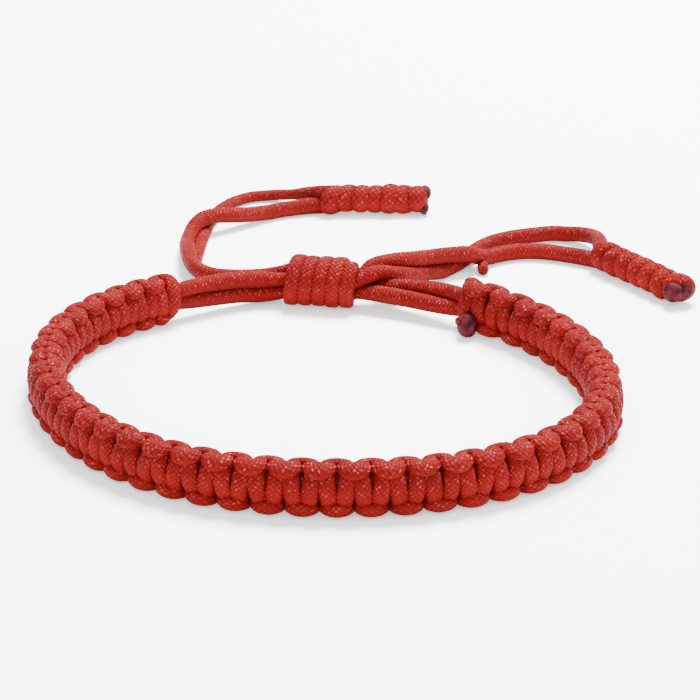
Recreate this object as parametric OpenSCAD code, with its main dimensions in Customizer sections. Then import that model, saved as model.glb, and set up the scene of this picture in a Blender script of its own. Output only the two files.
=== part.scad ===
// Sliding knot bracelet. Two knotting strands are tied in square knots round two core cords. The
// core cords leave both ends of the band, pass each other inside a wrapped sliding knot at the back
// and go on as two pairs of tails, each tied off in a small knot with melted ends. The bracelet
// rests on its edge: z points up through the wrist opening and y points to the sliding knot.

/* [Loop] */
// Mean radius of the loop, at the middle of the band
loop_r = 30.4; // [29:0.1:32]
// How oval the loop lies, as a share of its radius
oval = 0.07; // [0.04:0.01:0.09]
// How far the oval is turned, in degrees
oval_turn = 21; // [15:1:27]
// How boxy the oval is, as a share of its radius
boxy = 0.013; // [0:0.001:0.016]
// How far the boxy part is turned, in degrees
boxy_turn = 30; // [20:1:40]
// Y position of the loop's centre
loop_y = -1.6; // [-3:0.1:0]
// Direction of the left end of the band, seen from the loop's centre
band_from = 126.5; // [122:0.5:130]
// Direction of the right end of the band, a full turn added
band_to = 411.4; // [408:0.2:415]

/* [Knotted band] */
// Distance from one half knot to the next
knot_pitch = 1.83; // [1.8:0.01:2]
// Height of the band's mid line above the surface
band_z = 3.1; // [3.08:0.01:3.3]
// Height of each core cord above or below that mid line
core_rise = 0.66; // [0.64:0.01:0.7]
// Half thickness of a core cord where the knots squeeze it
core_tight_r = 0.62; // [0.5:0.01:0.62]
// Half thickness of a core cord between the band's right end and the sliding knot
core_r = 0.84; // [0.7:0.01:0.84]
// Half thickness of a core cord in the slack stretch at the band's left end
slack_r = 0.96; // [0.8:0.01:0.96]
// How far that slack stretch hangs down just before the sliding knot
slack_dip = 0.95; // [0:0.05:1]

/* [Sliding knot] */
// X position of the sliding knot
slide_x = -0.3; // [-2:0.1:2]
// Y position of the sliding knot
slide_y = 28.9; // [28:0.1:30]
// How far the sliding knot is turned from the X axis, in degrees
slide_turn = -10; // [-14:1:0]
// Turns of cord wrapped round the four cords
slide_turns = 4.5; // [3.5:0.5:5.5]
// Distance from one turn to the next
slide_pitch = 1.72; // [1.72:0.02:1.9]
// Radius of the wrapped cord's centre line
slide_r = 2.48; // [2.46:0.01:2.6]
// Half width of the wrapped cord, along the knot
coil_half_w = 0.81; // [0.7:0.01:0.82]
// Half thickness of the wrapped cord, squeezed flatter
coil_half_t = 0.62; // [0.5:0.01:0.63]

/* [Tails] */
// Half thickness of a tail cord
tail_r = 0.9; // [0.7:0.01:0.9]
// Half thickness of the one tail cord that is pulled thin
thin_r = 0.66; // [0.5:0.01:0.66]
// Outer radius of the knots on the tails
tie_r = 1.93; // [1.8:0.01:2]
// Radius between two bumps of those knots
tie_waist_r = 1.55; // [1.4:0.01:1.7]
// Bumps along each of those knots
tie_bumps = 7; // [5:1:8]
// Length of one bump on the left tail
left_bump = 1.88; // [1.7:0.02:2]
// Length of one bump on the right tail
right_bump = 2.2; // [2:0.02:2.4]
// Radius of the melted beads at the tails' ends
tip_r = 0.8; // [0.6:0.05:0.85]

/* [Hidden] */

UP = [0, 0, 1];
GAP = 0.1;
CORD_RED = "#B2352C";
MELTED = "#4C1D26";

// Half of one crossing over the core, from its middle out to the band's edge. Columns: place along the
// band in pitches, height from the mid line, distance outward, half width, half thickness
CROSSING = [[-0.07, 0.50, 1.54, 0.74, 0.56],
            [-0.24, 1.46, 0.75, 0.37, 0.39],
            [-0.17, 2.60, -0.89, 0.41, 0.45]];
// The turn at the band's edge between two crossings, in the same columns
PURL = [0.50, 2.63, -0.63, 0.60, 0.46];
// The cut ends of the front and of the back strand, in the same columns
FRONT_END = [-0.15, 2.05, -1.95, 0.48, 0.48];
BACK_END = [0.10, 1.60, -1.90, 0.42, 0.42];

// Routes of the four tail cords, from the sliding knot to their tie knot
LEFT_OUTER = [[-4.92, 30.45, 3.82], [-6.5, 30.95, 3.12], [-9.2, 31.5, 2.6], [-11.8, 32.0, 2.4],
    [-14.0, 32.8, 2.3], [-15.9, 34.6, 2.3], [-17.0, 37.4, 2.3], [-17.5, 40.6, 2.2],
    [-17.8, 44.0, 1.75], [-18.0, 47.0, 1.15], [-17.8, 49.4, 1.2], [-17.2, 51.4, 1.9],
    [-16.2, 52.8, 2.4], [-14.8, 53.8, 2.45], [-13.0, 54.9, 2.1], [-11.0, 56.4, 1.6],
    [-8.4, 58.4, 1.15], [-5.6, 60.0, 0.95], [-2.8, 61.0, 1.0], [-0.2, 61.4, 1.05]];
LEFT_INNER = [[-4.92, 30.45, 2.38], [-6.2, 31.05, 1.14], [-8.4, 31.9, 0.75], [-10.8, 32.9, 0.7],
    [-13.2, 34.3, 0.7], [-15.4, 36.7, 0.7], [-16.5, 39.6, 0.7], [-16.7, 42.6, 0.7],
    [-16.5, 45.6, 0.7], [-16.3, 48.8, 0.7], [-16.0, 52.0, 0.7], [-15.7, 55.0, 0.7],
    [-15.1, 57.8, 0.7], [-14.2, 60.8, 0.7], [-12.6, 63.6, 0.7], [-10.4, 65.6, 0.7],
    [-7.8, 66.2, 0.8], [-5.0, 65.1, 1.3], [-2.6, 63.5, 2.1], [-0.2, 61.9, 2.75]];
RIGHT_REAR = [[4.6, 28.8, 3.8], [5.9, 30.0, 4.6], [8.3, 31.4, 4.75], [10.8, 33.5, 4.2],
    [13.1, 36.0, 3.5], [15.5, 38.2, 2.95], [18.0, 39.3, 2.7], [19.9, 41.3, 1.5],
    [22.0, 43.1, 0.95], [24.8, 44.3, 0.95], [27.6, 44.4, 0.95], [30.2, 43.6, 0.95],
    [32.6, 42.5, 0.95], [34.2, 41.6, 1.0], [35.2, 40.9, 1.05]];
RIGHT_FRONT = [[4.3, 27.4, 3.8], [6.4, 28.1, 4.45], [8.6, 29.6, 3.75], [10.8, 32.3, 2.6],
    [12.9, 35.3, 1.7], [15.2, 38.0, 1.0], [16.8, 40.1, 0.95], [18.2, 42.5, 0.95],
    [19.6, 45.1, 0.95], [21.6, 47.6, 0.95], [24.2, 49.3, 0.95], [27.2, 50.4, 0.95],
    [30.2, 51.0, 0.95], [32.8, 50.0, 1.3], [34.6, 47.3, 2.0], [35.2, 44.2, 2.6],
    [35.2, 41.0, 2.8]];
// Where each tie knot starts, and its direction from the X axis
LEFT_TIE = [0, 61.4, 1.95];
LEFT_TIE_TURN = 0;
RIGHT_TIE = [35.3, 40.7, 1.95];
RIGHT_TIE_TURN = -53;
// Middle of the short cut cord that lies in front of the right tail, its length and its radius
STUB = [20.1, 38.95, 0.7];
STUB_L = 2.2;
STUB_R = 0.68;

// Radius of the loop in direction a
function plan_r(a) = loop_r * (1 + oval * cos(2 * (a + oval_turn)) + boxy * cos(4 * (a + boxy_turn)));
// Point of the loop's centre line in direction a, and the outward direction there
function plan(a) = [plan_r(a) * cos(a), loop_y + plan_r(a) * sin(a), 0];
function outward(a) = let (t = unit(plan(a + 1) - plan(a - 1))) [t.y, -t.x, 0];

// Length along the loop against direction, from a little before the band's left end
LEAD = 8;
ARC = [for (a = band_from - LEAD, s = 0; a < band_to + LEAD;
            s = s + norm(plan(a + 1) - plan(a)), a = a + 1) [s, a]];
ARC_BACK = [for (row = ARC) [row[1], row[0]]];
band_s0 = lookup(band_from, ARC_BACK);
band_len = lookup(band_to, ARC_BACK) - band_s0;
half_knots = 2 * round(band_len / knot_pitch / 2);
pitch = band_len / half_knots;

slide_z = slide_r + coil_half_t;
SLIDE_MID = [slide_x, slide_y, slide_z];
SLIDE_DIR = [cos(slide_turn), sin(slide_turn), 0];
SLIDE_SIDE = [-sin(slide_turn), cos(slide_turn), 0];
slide_half = slide_turns * slide_pitch / 2 + coil_half_w;
// Half spacing and half thickness of the four cords inside the sliding knot
bundle_half = 0.72;
bundle_r = 0.66;

function unit(v) = v / norm(v);
function clamp(x, low, high) = min(max(x, low), high);
function ease(t) = t * t * (3 - 2 * t);

// Direction of travel at each point of a path
function travel(p) = let (last = len(p) - 1) [for (i = [0:last])
    unit((i > 0 ? unit(p[i] - p[i - 1]) : [0, 0, 0]) + (i < last ? unit(p[i + 1] - p[i]) : [0, 0, 0]))];

// Ring of n points round c, square to direction t, with half size b along o and half size a across
function ring(c, t, o, a, b, n, turn) = let (u = unit(o - (o * t) * t), e = cross(t, u))
    [for (j = [0:n - 1]) let (w = 360 * (j + turn) / n) c + a * cos(w) * e + b * sin(w) * u];

// Closed solid through rings of equal size, in order
module loft(rings) {
    n = len(rings[0]);
    last = len(rings) - 1;
    polyhedron(
        points = [for (r = rings) each r],
        faces = concat(
            [for (j = [1:n - 2]) [0, j + 1, j]],
            [for (i = [0:last - 1], j = [0:n - 1], half = [0, 1])
                let (k = (j + 1) % n, at = i * n)
                half == 0 ? [at + j, at + k, at + n + k] : [at + j, at + n + k, at + n + j]],
            [for (j = [1:n - 2]) [last * n, last * n + j, last * n + j + 1]]));
}

// Round cord along a route, with the half thickness of each point in radii. It leaves its first point
// along start and reaches its last one along end
module cord(route, radii, sides, start, end) {
    last = len(route) - 1;
    t = travel(route);
    loft([for (i = [0:last])
        ring(route[i], i == 0 ? start : i == last ? end : t[i], UP, radii[i], radii[i], sides, 0)]);
}

// Point of the band's own space, given along, up and outward, carried onto the loop
function on_loop(p) = let (a = lookup(band_s0 + p[0], ARC))
    plan(a) + p[2] * outward(a) + (band_z + p[1]) * UP;

// Row of a table placed at half knot k: way is 1 after its middle and -1 before it, up is the edge
// that the crossing ends at, and side is 1 in front of the core and -1 behind it
function place(row, k, way, up, side) =
    [pitch * (k + 0.5 + way * row[0]), up * way * row[1], side * row[2], row[3], row[4]];

// Rows of a whole strand. The front strand starts with a purl, the back strand one half knot earlier
function strand_rows(side, first, end) = concat(
    side > 0 ? [place(PURL, first - 1, 1, -side, side)] : [],
    [for (k = [first:half_knots - 1])
        let (up = side * (k % 2 == 0 ? 1 : -1), rows = len(CROSSING))
        each concat(
            [for (i = [rows - 1:-1:0]) place(CROSSING[i], k, -1, up, side)],
            [for (row = CROSSING) place(row, k, 1, up, side)],
            [place(k < half_knots - 1 ? PURL : end, k, 1, up, side)])]);

// Strand with five sides, one of its corners facing away from the core
module strand(side, first, end) {
    rows = strand_rows(side, first, end);
    mids = [for (r = rows) [r[0], r[1], r[2]]];
    t = travel(mids);
    loft([for (i = [0:len(rows) - 1])
        let (r = rows[i], o = [0, r[1] - clamp(r[1], -core_rise, core_rise), r[2]])
        [for (p = ring(mids[i], t[i], o, r[3], r[4], 5, 0.25)) on_loop(p)]]);
}

// Smooth curve from p to q that leaves along u and arrives along v
function bridge(p, u, q, v, t) = let (d = norm(q - p)) (1 - ease(t)) * p + ease(t) * q
    + d * (t * (1 - t) * (1 - t) * u - t * t * (1 - t) * v);

// Half thickness of a core cord at the four points of a stretch, a little less next to the band
function stretch_radii(r) = [0.85 * r, r, r, r];

// One core cord in a stretch between the band's end and the sliding knot. The pair turns from the first
// to the second of turns, where 90 is one above the other and 0 side by side, and hangs down by dip
// before the knot. rise is 1 for the upper or rear cord
function stretch(s, way, face, rise, radii, turns, dip) = let (
    from = on_loop([s, 0, 0]),
    ahead = unit(on_loop([s + way, 0, 0]) - from),
    mid = function(t) bridge(from, ahead, face, -way * SLIDE_DIR, t) - dip * t * t * t * UP)
    [for (i = [0:3]) let (
        t = 0.2 * (i + 1),
        half = radii[i] + GAP / 2,
        dir = unit(mid(t + 0.05) - mid(t - 0.05)),
        turn = turns[0] + ease(t) * (turns[1] - turns[0]))
        mid(t) + rise * half * (sin(turn) * UP + cos(turn) * way * [dir.y, -dir.x, 0])];

// One of the four cords inside the sliding knot, from its left to its right end. They twist by a quarter
// turn: level is 1 in the top row and rise 1 in the rear column at the right end
function in_slide(level, rise) = [for (x = [-1:0.5:1]) let (turn = 45 * (1 - x))
    SLIDE_MID + x * slide_half * SLIDE_DIR
    + bundle_half * ((rise * sin(turn) + level * cos(turn)) * UP
                     + (rise * cos(turn) - level * sin(turn)) * SLIDE_SIDE)];

// A core cord from the knot's left face to the bottom row at its right end, round the loop, and back
// into the front column at its left end
module core_cord(rise) {
    low = in_slide(-1, rise);
    high = in_slide(1, rise);
    right_face = SLIDE_MID + slide_half * SLIDE_DIR - bundle_half * UP;
    left_face = SLIDE_MID - slide_half * SLIDE_DIR - bundle_half * SLIDE_SIDE;
    right_radii = stretch_radii(core_r);
    left_radii = stretch_radii(slack_r);
    right = stretch(band_len, 1, right_face, rise, right_radii, [60, 0], 0);
    left = stretch(0, -1, left_face, rise, left_radii, [90, 90], slack_dip);
    band = [for (k = [half_knots:-2:0]) on_loop([pitch * k, rise * core_rise, 0])];
    last = len(right) - 1;
    route = concat(low, [for (i = [last:-1:0]) right[i]], band, left, high);
    radii = concat([for (p = low) bundle_r], [for (i = [last:-1:0]) right_radii[i]],
                   [for (p = band) core_tight_r], left_radii, [for (p = high) bundle_r]);
    cord(route, radii, 6, SLIDE_DIR, SLIDE_DIR);
}

module front_strand() { color(CORD_RED) strand(1, 0, FRONT_END); }
module back_strand() { color(CORD_RED) strand(-1, -1, BACK_END); }
module core_cord_upper() { color(CORD_RED) core_cord(1); }
module core_cord_lower() { color(CORD_RED) core_cord(-1); }

// Coil of the sliding knot, its ends tucked in underneath
module sliding_knot() {
    steps = 12;
    count = round(slide_turns * steps);
    path = [for (i = [0:count])
        let (w = 360 * (i / steps - 0.5), x = slide_pitch * (i / steps - slide_turns / 2))
        [SLIDE_MID + x * SLIDE_DIR, cos(w) * UP + sin(w) * SLIDE_SIDE]];
    mids = [for (p = path) p[0] + slide_r * p[1]];
    t = travel(mids);
    color(CORD_RED) loft([for (i = [0:count])
        ring(mids[i], t[i], path[i][1], coil_half_w, coil_half_t, 5, 0.25)]);
}

// Tail cord of half thickness r, squeezed where it leaves the sliding knot and enters its tie knot
module tail(route, r, start, end_turn) {
    end_squeeze = 0.85;
    last = len(route) - 1;
    radii = [for (i = [0:last]) i == 0 ? min(r, bundle_r) : i == last ? end_squeeze * r : r];
    color(CORD_RED) cord(route, radii, 8, start, [cos(end_turn), sin(end_turn), 0]);
}
module left_tail_outer() { tail(LEFT_OUTER, tail_r, -SLIDE_DIR, LEFT_TIE_TURN); }
module left_tail_inner() { tail(LEFT_INNER, thin_r, -SLIDE_DIR, LEFT_TIE_TURN); }
module right_tail_rear() { tail(RIGHT_REAR, tail_r, SLIDE_DIR, RIGHT_TIE_TURN); }
module right_tail_front() { tail(RIGHT_FRONT, tail_r, SLIDE_DIR, RIGHT_TIE_TURN); }

// Knot that ties off a pair of tails: slanted bumps along a straight line
module tie_knot(from, turn, bump) {
    dir = [cos(turn), sin(turn), 0];
    side = [-sin(turn), cos(turn), 0];
    slant = 0.14;
    sides = 10;
    // Columns: place along a bump as a share of its length, radius
    bump_rows = [[0, tie_waist_r], [0.3, tie_r], [0.7, tie_r]];
    stations = [for (i = [0:tie_bumps - 1], row = bump_rows) [i + row[0], row[1]]];
    rows = concat(stations, [[tie_bumps, tie_waist_r]]);
    color(CORD_RED) loft([for (row = rows)
        let (fade = min(1, row[0], tie_bumps - row[0]))
        [for (p = ring(from + bump * row[0] * dir, dir, UP, row[1], row[1], sides, 0))
            p + fade * slant * ((p - from) * side) * dir]]);
}
module left_tie_knot() { tie_knot(LEFT_TIE, LEFT_TIE_TURN, left_bump); }
module right_tie_knot() { tie_knot(RIGHT_TIE, RIGHT_TIE_TURN, right_bump); }

// Melted end of a cord: a round bead of radius r and length l, flat where it meets the cord
module melted_end(r, l) {
    color(MELTED) rotate_extrude($fn = 48) intersection() {
        translate([0, l - r]) circle(r, $fn = 48);
        square([r, l]);
    }
}

// Melted end seated on the end of a tie knot, off its axis by side and rise
module tie_tip(from, turn, bump, side, rise, l) {
    translate(from) rotate([0, 90, turn]) translate([-rise, side, tie_bumps * bump + GAP])
        melted_end(tip_r, l);
}
module left_tip_high() { tie_tip(LEFT_TIE, LEFT_TIE_TURN, left_bump, 0.5, 0.75, 1.1); }
module left_tip_low() { tie_tip(LEFT_TIE, LEFT_TIE_TURN, left_bump, -0.5, -0.95, 0.9); }
module right_tip_rear() { tie_tip(RIGHT_TIE, RIGHT_TIE_TURN, right_bump, 0.85, 0, 1.5); }
module right_tip_front() { tie_tip(RIGHT_TIE, RIGHT_TIE_TURN, right_bump, -0.85, -0.1, 0.9); }

// Melted ends of the two knotting strands at the band's right end, inside and outside the loop
module band_tip(end, side, up, r, l) {
    s = pitch * (half_knots - 0.5 + end[0]);
    place_at = on_loop([s, up * end[1], side * (end[2] - end[4] - GAP)]);
    facing = -side * outward(lookup(band_s0 + s, ARC));
    translate(place_at) rotate([0, 90, atan2(facing.y, facing.x)]) melted_end(r, l);
}
module band_tip_low() { band_tip(FRONT_END, 1, -1, 1, 1.6); }
module band_tip_high() { band_tip(BACK_END, -1, 1, 0.7, 0.8); }

// Short cut cord in front of the right tail, pointing at the band
module tail_stub() {
    color(CORD_RED) translate(STUB) rotate([90, 0, 0])
        cylinder(r = STUB_R, h = STUB_L, center = true, $fn = 48);
}

front_strand();
back_strand();
core_cord_upper();
core_cord_lower();
sliding_knot();
left_tail_outer();
left_tail_inner();
right_tail_rear();
right_tail_front();
left_tie_knot();
right_tie_knot();
left_tip_high();
left_tip_low();
right_tip_rear();
right_tip_front();
band_tip_low();
band_tip_high();
tail_stub();
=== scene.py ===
"""Looks of a red sliding knot bracelet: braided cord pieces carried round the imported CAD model."""

import logging
import math
from dataclasses import dataclass
from enum import Enum

import bpy
import numpy as np
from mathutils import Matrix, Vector


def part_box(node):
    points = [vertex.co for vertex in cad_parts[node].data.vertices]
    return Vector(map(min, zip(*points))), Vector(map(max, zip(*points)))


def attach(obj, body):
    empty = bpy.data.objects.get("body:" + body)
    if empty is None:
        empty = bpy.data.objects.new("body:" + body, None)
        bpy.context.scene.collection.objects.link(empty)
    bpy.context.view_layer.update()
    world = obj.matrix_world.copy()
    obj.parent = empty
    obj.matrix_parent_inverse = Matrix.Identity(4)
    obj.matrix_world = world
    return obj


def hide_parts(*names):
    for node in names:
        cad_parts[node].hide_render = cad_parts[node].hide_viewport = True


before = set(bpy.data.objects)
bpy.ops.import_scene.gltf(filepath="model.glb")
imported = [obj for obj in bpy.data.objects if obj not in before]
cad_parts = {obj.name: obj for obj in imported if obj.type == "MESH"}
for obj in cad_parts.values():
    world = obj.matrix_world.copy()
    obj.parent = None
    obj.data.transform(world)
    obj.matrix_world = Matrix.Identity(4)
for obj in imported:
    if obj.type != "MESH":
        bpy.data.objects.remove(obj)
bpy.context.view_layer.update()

LOG = logging.getLogger("bracelet")
MM = 0.001
UP = np.array([0.0, 0.0, 1.0])
WHITE = (1.0, 1.0, 1.0, 1.0)
CORD_UV = "cord"
# Point attribute that paints shade on the side of each cord turned away from its out direction
PAINTED_INNER_SHADE = "painted_inner_shade"
# Height of the middle of the band and of the sliding knot
MID_HEIGHT = 3.1 * MM
# Sockets of a Mix node that mixes colours, by number, because its float sockets share their names
MIX_SHARE, MIX_A, MIX_B, MIX_RESULT = 0, 6, 7, 2

Triple = tuple[float, float, float]
Value = bpy.types.NodeSocket | float | Triple

# Routes of the four tail cords in metres, from the sliding knot to their tie knot
LEFT_OUTER = (
    (-0.00492, 0.03045, 0.00382), (-0.0065, 0.03095, 0.00312), (-0.0092, 0.0315, 0.0026),
    (-0.0118, 0.0320, 0.0024), (-0.0140, 0.0328, 0.0023), (-0.0159, 0.0346, 0.0023),
    (-0.0170, 0.0374, 0.0023), (-0.0175, 0.0406, 0.0022), (-0.0178, 0.0440, 0.00175),
    (-0.0180, 0.0470, 0.00115), (-0.0178, 0.0494, 0.0012), (-0.0172, 0.0514, 0.0019),
    (-0.0162, 0.0528, 0.0024), (-0.0148, 0.0538, 0.00245), (-0.0130, 0.0549, 0.0021),
    (-0.0110, 0.0564, 0.0016), (-0.0084, 0.0584, 0.00115), (-0.0056, 0.0600, 0.00095),
    (-0.0028, 0.0610, 0.0010), (-0.0002, 0.0614, 0.00105))
LEFT_INNER = (
    (-0.00492, 0.03045, 0.00238), (-0.0062, 0.03105, 0.00114), (-0.0084, 0.0319, 0.00075),
    (-0.0108, 0.0329, 0.0007), (-0.0132, 0.0343, 0.0007), (-0.0154, 0.0367, 0.0007),
    (-0.0165, 0.0396, 0.0007), (-0.0167, 0.0426, 0.0007), (-0.0165, 0.0456, 0.0007),
    (-0.0163, 0.0488, 0.0007), (-0.0160, 0.0520, 0.0007), (-0.0157, 0.0550, 0.0007),
    (-0.0151, 0.0578, 0.0007), (-0.0142, 0.0608, 0.0007), (-0.0126, 0.0636, 0.0007),
    (-0.0104, 0.0656, 0.0007), (-0.0078, 0.0662, 0.0008), (-0.0050, 0.0651, 0.0013),
    (-0.0026, 0.0635, 0.0021), (-0.0002, 0.0619, 0.00275))
RIGHT_REAR = (
    (0.0046, 0.0288, 0.0038), (0.0059, 0.0300, 0.0046), (0.0083, 0.0314, 0.00475),
    (0.0108, 0.0335, 0.0042), (0.0131, 0.0360, 0.0035), (0.0155, 0.0382, 0.00295),
    (0.0180, 0.0393, 0.0027), (0.0199, 0.0413, 0.0015), (0.0220, 0.0431, 0.00095),
    (0.0248, 0.0443, 0.00095), (0.0276, 0.0444, 0.00095), (0.0302, 0.0436, 0.00095),
    (0.0326, 0.0425, 0.00095), (0.0342, 0.0416, 0.0010), (0.0352, 0.0409, 0.00105))
RIGHT_FRONT = (
    (0.0043, 0.0274, 0.0038), (0.0064, 0.0281, 0.00445), (0.0086, 0.0296, 0.00375),
    (0.0108, 0.0323, 0.0026), (0.0129, 0.0353, 0.0017), (0.0152, 0.0380, 0.0010),
    (0.0168, 0.0401, 0.00095), (0.0182, 0.0425, 0.00095), (0.0196, 0.0451, 0.00095),
    (0.0216, 0.0476, 0.00095), (0.0242, 0.0493, 0.00095), (0.0272, 0.0504, 0.00095),
    (0.0302, 0.0510, 0.00095), (0.0328, 0.0500, 0.0013), (0.0346, 0.0473, 0.0020),
    (0.0352, 0.0442, 0.0026), (0.0352, 0.0410, 0.0028))


class Side(Enum):
    """Which face of the band a strand crosses."""

    FRONT = 1
    BACK = -1


class Rise(Enum):
    """Which of the two core cords: the upper one runs behind at the sliding knot."""

    UPPER = 1
    LOWER = -1


def unit(vectors: np.ndarray) -> np.ndarray:
    """Vectors scaled to length one along their last axis."""
    return vectors / np.maximum(np.linalg.norm(vectors, axis=-1, keepdims=True), 1e-12)


def heading(degrees: float) -> np.ndarray:
    """Level direction at an angle from X."""
    return np.array([math.cos(math.radians(degrees)), math.sin(math.radians(degrees)), 0.0])


def left_of(ahead: np.ndarray) -> np.ndarray:
    """Level directions to the left of others: minus their y, their x and 0."""
    return np.stack([-ahead[..., 1], ahead[..., 0], np.zeros_like(ahead[..., 0])], axis=-1)


def ease(share: np.ndarray) -> np.ndarray:
    """Smooth step from 0 to 1: three times the square less twice the cube."""
    share = np.clip(share, 0.0, 1.0)
    return share * share * (3.0 - 2.0 * share)


def spline(rows: np.ndarray, spacing: float) -> np.ndarray:
    """Smooth curve through rows, stepped evenly along its length.

    Cubic Hermite pieces between the rows, each row's slope taken from its neighbours over the
    chord lengths, are worked out in 14 steps a row and then stepped evenly. Columns past the
    third, such as radii, are carried along with the point.

    Args:
        rows: One row for each point: x, y, z and any further columns.
        spacing: Distance between two steps, in metres.

    Returns:
        The rows of the stepped curve.
    """
    chord = np.linalg.norm(np.diff(rows[:, :3], axis=0), axis=1)
    at = np.concatenate([[0.0], np.cumsum(chord)])
    slope = np.gradient(rows, at, axis=0)
    steps = np.linspace(0.0, at[-1], 14 * len(rows))
    i = np.clip(np.searchsorted(at, steps, side="right") - 1, 0, len(rows) - 2)
    span = (at[i + 1] - at[i])[:, None]
    t = (steps - at[i])[:, None] / span
    fine = ((2 * t**3 - 3 * t**2 + 1) * rows[i] + (t**3 - 2 * t**2 + t) * span * slope[i]
            + (3 * t**2 - 2 * t**3) * rows[i + 1] + (t**3 - t**2) * span * slope[i + 1])
    length = along(fine[:, :3])
    even = np.linspace(0.0, length[-1], max(4, round(length[-1] / spacing)) + 1)
    return np.stack([np.interp(even, length, column) for column in fine.T], axis=1)


def along(points: np.ndarray) -> np.ndarray:
    """Length along a path at each of its points, the sum of the steps before it."""
    return np.concatenate([[0.0], np.cumsum(np.linalg.norm(np.diff(points, axis=0), axis=1))])


def aim(name: str, data: bpy.types.Camera | bpy.types.Light, place: Triple,
        target: Triple) -> bpy.types.Object:
    """Adds a camera or a light that looks at a target.

    Args:
        name: Name of the object.
        data: The camera or the light.
        place: Where it stands.
        target: Where it looks.

    Returns:
        The new object.
    """
    thing = bpy.data.objects.new(name, data)
    bpy.context.scene.collection.objects.link(thing)
    thing.location = place
    thing.rotation_euler = (Vector(target) - Vector(place)).to_track_quat("-Z", "Y").to_euler()
    return thing


@dataclass(frozen=True)
class Braid:
    """The plaited sheath of the cord: two families of yarns that cross over and under.

    Attributes:
        carriers: Yarns of each family round the cord.
        lay: Length along the cord from one crossing to the next, in metres.
        relief: How far a yarn stands above its edges, in metres.
        edge: Height of a yarn where it dives under the next, from 0 to 1.
        swell: How much higher it is in the middle of its float.
        level: Height that lies on the cord's plain surface.
    """

    carriers: int = 9
    lay: float = 0.48 * MM
    relief: float = 0.020 * MM
    edge: float = 0.45
    swell: float = 0.55
    level: float = 0.6

    def height(self, around: np.ndarray, length: np.ndarray) -> np.ndarray:
        """Relief of the sheath from 0 to 1 at a place on the cord.

        The two yarn families are counted by carriers times around, plus and minus length over
        lay. Where the sum of their whole parts is even the first lies on top, otherwise the
        second. A yarn is half a sine across, and swells by half a sine along its float.

        Args:
            around: Share of the way round the cord.
            length: Length along the cord, in metres.

        Returns:
            Height of each place.
        """
        one = self.carriers * around + length / self.lay
        two = self.carriers * around - length / self.lay
        on_top = (np.floor(one) + np.floor(two)) % 2 == 0
        across = np.where(on_top, one, two) % 1.0
        float_along = np.where(on_top, two, one) % 1.0
        return np.sin(np.pi * across) * (self.edge + self.swell * np.sin(np.pi * float_along))


@dataclass
class Cord:
    """A soft cord with an oval section that is carried along a path.

    Attributes:
        path: Centre line, one row for each ring.
        out: Direction of the section's thickness at each ring.
        half_w: Half width of each ring, across out.
        half_t: Half thickness of each ring, along out.
        sides: Corners of each ring.
        braid: Sheath that is raised on the surface.
        from_length: Length of cord that lies before the path, which starts the sheath's pattern.
        square: How far the section is squared up, from 0 for an oval.
        dome_reach: Length of a rounded end over the cord's half thickness.
        dome_least: Share of the section that is left at its tip.
    """

    path: np.ndarray
    out: np.ndarray
    half_w: np.ndarray
    half_t: np.ndarray
    sides: int = 20
    braid: Braid = Braid()
    from_length: float = 0.0
    square: float = 0.0
    dome_reach: float = 0.7
    dome_least: float = 0.12

    def rounded(self, start: bool = True, end: bool = True) -> "Cord":
        """Closes the ends like a dome: the section shrinks as a quarter ellipse over its radius.

        Args:
            start: Whether the first end is rounded.
            end: Whether the last end is rounded.

        Returns:
            This cord.
        """
        length = along(self.path)
        for wanted, left in ((start, length), (end, length[-1] - length)):
            if wanted:
                reach = self.dome_reach * float(np.mean(self.half_t))
                share = np.clip(left / reach, 0.0, 1.0)
                dome = np.sqrt(np.clip(1.0 - (1.0 - share) ** 2, 0.0, 1.0))
                self.half_w = self.half_w * np.maximum(dome, self.dome_least)
                self.half_t = self.half_t * np.maximum(dome, self.dome_least)
        return self

    def rings(self) -> tuple[np.ndarray, np.ndarray, np.ndarray]:
        """Works out the surface: centre plus width times cosine across plus thickness times sine out.

        Returns:
            The grid of points, the share round the cord and the length along it.
        """
        ahead = unit(np.gradient(self.path, axis=0))
        out = unit(self.out - np.sum(self.out * ahead, axis=1, keepdims=True) * ahead)
        across = np.cross(ahead, out)
        share = np.arange(self.sides + 1) / self.sides
        angle = 2.0 * np.pi * share
        length = self.from_length + along(self.path)
        bulge = 1.0 + self.square * np.sin(2.0 * angle) ** 2
        lift = self.braid.relief * (self.braid.height(share[None, :], length[:, None]) - self.braid.level)
        ring_w = (self.half_w[:, None] + lift) * np.cos(angle)[None, :] * bulge
        ring_t = (self.half_t[:, None] + lift) * np.sin(angle)[None, :] * bulge
        grid = (self.path[:, None] + ring_w[:, :, None] * across[:, None]
                + ring_t[:, :, None] * out[:, None])
        return grid, share, length


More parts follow.
